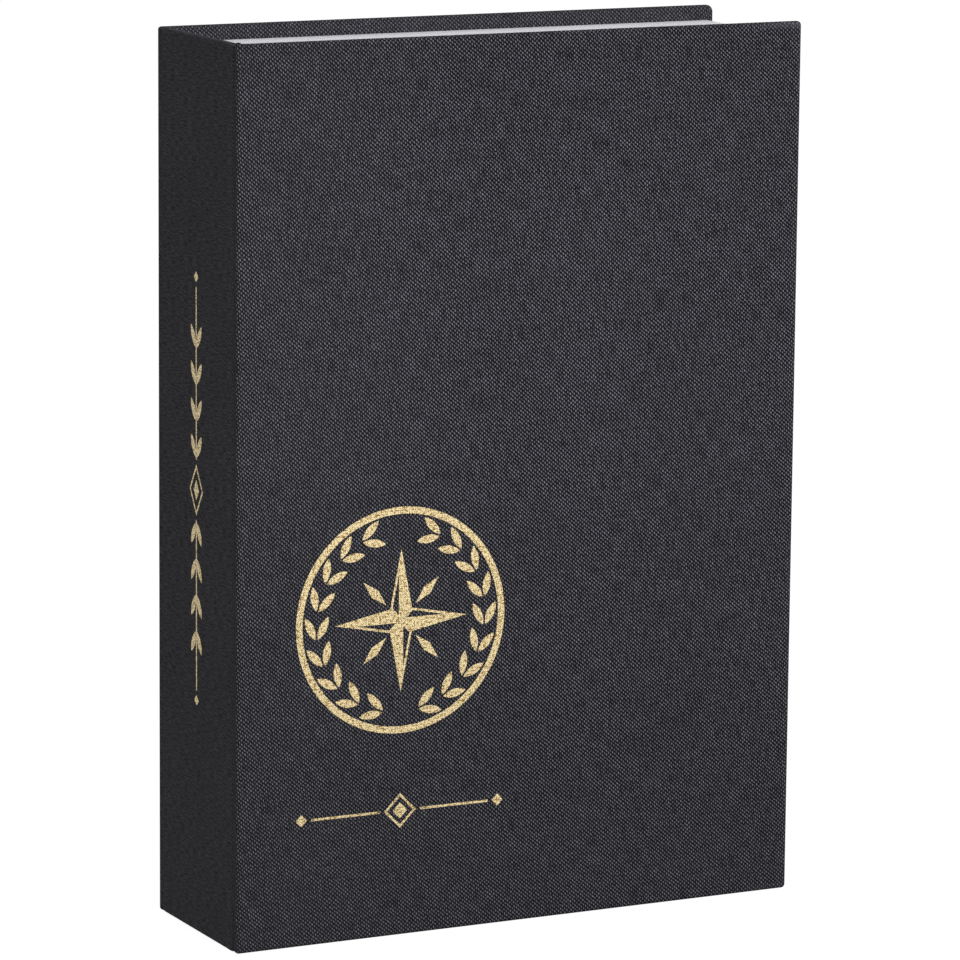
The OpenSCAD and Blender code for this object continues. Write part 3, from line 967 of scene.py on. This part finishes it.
# %% Floor paper
FLOOR_GAP = np.array([0.9, 0, 0.9]) * MM
floor_piece = pasted_paper(
    "floor_paper",
    (floor_low + FLOOR_GAP, floor_high - FLOOR_GAP),
    (floor_low[0] + ON_FLOOR, floor_high[0] - ON_FLOOR),
    (floor_low[2] + ON_FLOOR, floor_high[2] - ON_FLOOR),
    spacing=6 * MM,
    outer_y=floor_low[1] - PAPER_T - HAIR,
    inner_y=floor_low[1],
    to_glue=SKIN_T,
)

# %% [markdown]
# ## Gold ornaments
# The cover carries a medallion, a wreath round a star in a ring, and a band of lozenges below it. The
# spine carries a sprig of leaves. Each motif is a plate less than a tenth of a millimetre thick, set into
# the cloth: a fan round its middle, or a ribbon between two outlines. It holds how far each of its points
# is from the outline.

# %% Motifs
FINE_LINE = 0.9 * MM
LEAF_L = 9.2 * MM
LEAF_W = 3.1 * MM
LEAF_FOOT = 1.0 * MM
LEAF_LEAN = math.radians(27)


def lozenge(w, h):
    """Outline of a lozenge round the origin."""
    return np.array([[0, -h / 2], [w / 2, 0], [0, h / 2], [-w / 2, 0]])


def leaf():
    """Outline of two arcs from foot to tip: the half width is that of a circle through both ends."""
    arc_r = (LEAF_L**2 + LEAF_W**2) / (4 * LEAF_W)
    y = LEAF_L / 2 * np.sin(np.linspace(-np.pi / 2, np.pi / 2, 13))
    half = np.sqrt(arc_r**2 - y**2) - (arc_r - LEAF_W / 2)
    return np.concatenate([places(half, y), places(-half, y)[-2:0:-1]]) + [0, LEAF_FOOT + LEAF_L / 2]


def circle(radius, count=144):
    """Outline of a circle round the origin."""
    return arc_points((0, 0), radius, 0, 360, count + 1)[:-1]


def turned(outline, angle):
    """Turned about the origin, counterclockwise, by an angle in radians."""
    c, s = math.cos(angle), math.sin(angle)
    return outline @ np.array([[c, s], [-s, c]])


# %% Plates of foil
FOIL_PROUD = 0.03 * MM
FOIL_SUNK = 0.05 * MM


def sides(outline):
    """Length of each side."""
    return np.linalg.norm(np.roll(outline, -1, 0) - outline, axis=1)


def inner_radius(outline):
    """Radius of the circle that touches every side: twice the area over the way round."""
    return abs(np.cross(outline, np.roll(outline, -1, 0)).sum()) / sides(outline).sum()


def ring(n):
    """The number of each corner of an outline, and that of the next."""
    return [(i, (i + 1) % n) for i in range(n)]


def solid_plate(outline):
    """Fan plate: flat points, depth, distance from the outline and faces."""
    n = len(outline)
    face = np.vstack([outline, outline.mean(0)])
    inside = np.zeros(2 * n + 2)
    inside[[n, -1]] = inner_radius(outline)
    fans = [(a, b, n) for a, b in ring(n)] + [(b + n + 1, a + n + 1, 2 * n + 1) for a, b in ring(n)]
    walls = [(b, a, a + n + 1, b + n + 1) for a, b in ring(n)]
    return np.vstack([face, face]), np.repeat([0, 1], n + 1), inside, fans + walls


def open_plate(outline, inner):
    """Ribbon plate between two outlines, with a line of points along its middle."""
    n = len(outline)
    edge = outline[1] - outline[0]
    apart = abs(np.cross(edge, inner[0] - outline[0])) / np.linalg.norm(edge)
    flat = np.concatenate([outline, (outline + inner) / 2, inner, inner, outline])
    inside = np.repeat([0, apart / 2, 0, 0, 0], n)
    loop = np.arange(5) * n
    faces = [(a + p, b + p, b + q, a + q) for p, q in zip(loop, np.roll(loop, -1)) for a, b in ring(n)]
    return flat, np.repeat([0, 0, 0, 1, 1], n), inside, faces


def outlined(outline):
    """Open plate with a fine line. Its inner outline shrinks towards the centre of the inner circle."""
    if len(outline) == 3:
        weights = np.roll(sides(outline), -1)
        middle = weights @ outline / weights.sum()
    else:
        middle = outline.mean(0)
    return open_plate(outline, middle + (outline - middle) * (1 - FINE_LINE / inner_radius(outline)))


# %% Motifs placed
LEFT_RIGHT = np.array([-1, 1])
UP_DOWN = np.array([1, -1])
RING_R = 42 * MM
RING_W = 2.6 * MM
RULE_GAP = 1.6 * MM
LOZENGE = 13 * MM


def leaf_pair():
    """Two leaves that lean out from a foot at the origin."""
    return [turned(leaf(), -LEAF_LEAN), turned(leaf(), LEAF_LEAN)]


def wreath(radius=34.2 * MM, pairs=9, opening=math.radians(11)):
    """Two branches of leaf pairs up a circle, each pair turned in by the angle of its chord."""
    step = (math.pi - 2 * opening) / pairs
    turn = math.asin((LEAF_FOOT + LEAF_L / 2) / radius)
    leaves = [turned(p, turn - math.pi / 2) + [0, -radius] for p in leaf_pair()]
    right = [turned(p, opening + i * step) for i in range(pairs) for p in leaves]
    return right + [p * LEFT_RIGHT for p in right]


def star(ray_l=26.5 * MM, ray_w=4.4 * MM, diagonal=(8.4 * MM, 13 * MM, 3.6 * MM)):
    """Four rays, each half solid and half open, and a lozenge between every two."""
    start, length, width = diagonal
    full = np.array([[0, 0], [ray_w, ray_w], [0, ray_l]])
    between = turned(lozenge(width, length) + [0, start + length / 2], math.pi / 4)
    quarters = [math.pi / 2 * i for i in range(4)]
    solids = [turned(p, q) for q in quarters for p in (full, between)]
    return solids, [turned(full * LEFT_RIGHT, q) for q in quarters]


def medallion():
    """The ring, with the wreath and the star in it."""
    solids, outlines = star()
    plates = [solid_plate(p) for p in solids + wreath()] + [outlined(p) for p in outlines]
    return plates + [open_plate(circle(RING_R), circle(RING_R - RING_W))]


def rule(length, start, end):
    """Half of a fine rule along X, from its start to the small lozenge that ends it."""
    stop, half = length / 2 - end - RULE_GAP, FINE_LINE / 2
    line = np.array([[start, -half], [stop, -half], [stop, half], [start, half]])
    return [line, lozenge(end, end) + [(length - end) / 2, 0]]


def band(length=84 * MM, core=6 * MM, end=4.6 * MM):
    """A lozenge between two fine rules that end in small lozenges."""
    side = rule(length, LOZENGE / 2 + RULE_GAP, end)
    solids = side + [p * LEFT_RIGHT for p in side] + [lozenge(core, core)]
    return [solid_plate(p) for p in solids] + [outlined(lozenge(LOZENGE, LOZENGE))]


def sprig(length=160 * MM, w=12 * MM, h=19 * MM, core=0.4, pairs=4, step=13.4 * MM, end=4 * MM):
    """Leaf pairs on a stem, which grow up and down from a lozenge."""
    first = h / 2 + RULE_GAP
    up = [turned(p, math.pi / 2) for p in rule(length, first, end)]
    up += [p + [0, first + i * step] for i in range(pairs) for p in leaf_pair()]
    solids = up + [p * UP_DOWN for p in up] + [lozenge(w * core, h * core)]
    return [solid_plate(p) for p in solids] + [outlined(lozenge(w, h))]


# %% [markdown]
# The plates' points are laid on the cover or the spine, with their places on the flat sheet, so that the
# foil's grid is the grid of the threads below it.

# %% Ornaments as pieces
def make_ornament(name, groups, facing, sheet_at):
    """One piece from groups of plates. facing is the axis that their levels count along: 0 on the spine
    and 1 on the cover. sheet_at gives the place of flat points on the cloth."""
    laid, sheets, insides, faces, count = [], [], [], [], 0
    for plates, shift in groups:
        for flat, level, inside, polygons in plates:
            flat = flat + shift
            laid.append(np.insert(flat, facing, level * (FOIL_PROUD + FOIL_SUNK) - FOIL_PROUD, axis=1))
            sheets.append(sheet_at(flat))
            insides.append(inside)
            faces += [tuple(int(i) + count for i in polygon) for polygon in polygons]
            count += len(flat)
    sheet = np.concatenate(sheets)[np.concatenate(faces)]
    piece = make_mesh(name, np.concatenate(laid), faces, sheet, GOLD_FOIL, skin=False)
    mark(piece, "from_edge", np.concatenate(insides))
    return piece


def spine_sheet(flat):
    """The spine's distance along the sheet, read from the case's line."""
    order = slice(int(np.argmax(outer_line[:, 0] < MM)), None)
    return places(np.interp(flat[:, 0], outer_line[order, 1], along_sheet[order]), flat[:, 1])


foil_low, foil_high = in_case("cover_foil")
medallion_at = [(foil_low[0] + foil_high[0]) / 2, foil_high[2] - RING_R]
band_at = [medallion_at[0], foil_low[2] + LOZENGE / 2]
sprig_at = in_case("spine_foil").mean(0)[1:]
cover_groups = [(medallion(), medallion_at), (band(), band_at)]
cover_ornament = make_ornament("cover_ornament", cover_groups, 1, lambda flat: flat)
spine_ornament = make_ornament("spine_ornament", [(sprig(), sprig_at)], 0, spine_sheet)

# %% [markdown]
# ## What rides on what
# The cloth and the hinge strip cross the joint: they are left where they lie, in the frame's place. What
# lies before the fold follows the cover, and what lies behind it stays with the box.

# %% Bodies, nodes and slots
for piece, body, slot, *nodes in (
    (book_cloth, "both", "cloth", "front_cloth", "spine_cloth", "back_cloth"),
    (strip_piece, "both", "strip", "hinge_strip_cover", "hinge_strip_spine"),
    (lining_piece, "front_cover", "paper", "front_lining"),
    (tray_piece, "box", "paper", "tray_wrap"),
    (floor_piece, "box", "paper", "tray_floor_lining"),
    (cover_ornament, "front_cover", "foil", "cover_foil"),
    (spine_ornament, "box", "foil", "spine_foil"),
):
    if body == "both":
        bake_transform(piece)
    else:
        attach(piece, body)
    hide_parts(*nodes)

# %% The cloth's width round both edges, and the case's boards
over_edges = 2 * beyond[inset.argmax()]
case_boards = ["front_board", "spine_board", "back_board"]

# %% [markdown]
# ## The pieces that stay as they are
# Boards, stays and magnets keep the construction model's meshes, and get a real material.

# %% Materials on the frame's own nodes
tray_boards = ["tray_floor"] + [f"tray_{side}_wall" for side in ("head", "tail", "fore_edge", "spine")]
magnets = [f"{part}_magnet_{end}" for part in ("cover", "wall") for end in ("upper", "lower")]
for slot, material, nodes in (
    ("board", GREY_BOARD, case_boards + tray_boards),
    ("tape", STAY_TAPE, ["tray_corner_stays"]),
    ("magnet", MAGNET_STEEL, magnets),
):
    for node in nodes:
        piece = frame["nodes"][node]
        piece.data.materials.clear()
        piece.data.materials.append(material)

# %% [markdown]
# ## The studio
# The box stands on a pale floor in soft light. A wide lamp in front has a grid before it, so its light
# falls off towards the floor. A large lamp hangs above, and the white room fills the rest, so the front
# is lit about twice as well as the spine. What the camera and mirrors see of floor and room is white.

# %% Floor
FLOOR_SIZE = 60.0
FLOOR_GREY = (0.18, 0.18, 0.18)
SEEN_GLOW = 0.90


def seen_rays(shader):
    """1 for rays from the camera, and for those that gloss or glass sends on."""
    camera, gloss, glass = (
        shader.node("LightPath", output=f"Is {kind} Ray")
        for kind in ("Camera", "Glossy", "Transmission")
    )
    return camera.larger(gloss).larger(glass)


def floor_material():
    """Matt grey as a surface, with a white glow where it is seen."""
    shader = Shader("floor")
    matt = shader.node("BsdfDiffuse", None, {"Color": FLOOR_GREY})
    glow = shader.node("Emission", None, {"Strength": SEEN_GLOW})
    both = shader.node("AddShader", None, [matt, glow])
    surface = shader.node("MixShader", None, [seen_rays(shader), matt, both])
    shader.node("OutputMaterial", None, {"Surface": surface})
    return shader.owner


half = FLOOR_SIZE / 2
square = [(-half, -half, 0), (half, -half, 0), (half, half, 0), (-half, half, 0)]
floor_mesh = bpy.data.meshes.new("floor")
floor_mesh.from_pydata(square, [], [(0, 1, 2, 3)])
floor_mesh.materials.append(floor_material())
add_object("floor", floor_mesh)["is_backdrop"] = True

# %% Room
ROOM_LIGHT = 0.64
room = Shader("room", "worlds")
strength = seen_rays(room) * (1 - ROOM_LIGHT) + ROOM_LIGHT
sky = room.node("Background", None, {"Color": (1.0, 1.0, 1.0), "Strength": strength})
room.node("OutputWorld", None, {"Surface": sky})
bpy.context.scene.world = room.owner


# %% Lamps
def make_lamp(name, place, aim, size, power, spread=180.0):
    """A rectangular lamp that points at its aim, in metres and watts."""
    lamp = bpy.data.lights.new(name, "AREA")
    lamp.shape = "RECTANGLE"
    lamp.size, lamp.size_y = size
    lamp.energy = power
    lamp.spread = math.radians(spread)
    turn = Vector(np.subtract(place, aim)).to_track_quat("Z", "Y")
    add_object(name, lamp).matrix_world = Matrix.Translation(place) @ turn.to_matrix().to_4x4()


make_lamp("front_lamp", (0.0, -0.64, 0.48), (0.0, 0.0, 0.17), (0.8, 0.12), 1.05, spread=80.0)
make_lamp("top_lamp", (0.0, -0.3, 1.6), (0.0, 0.0, 0.3), (1.2, 1.2), 1.4)
bpy.context.scene.view_settings.view_transform = "Standard"

# %% How much the box grew, printed at the end
new_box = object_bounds()
grown = (np.array(new_box) - np.array(cad_box)) / MM
print("visual box grows by", grown.round(2).ravel().tolist(), "mm")
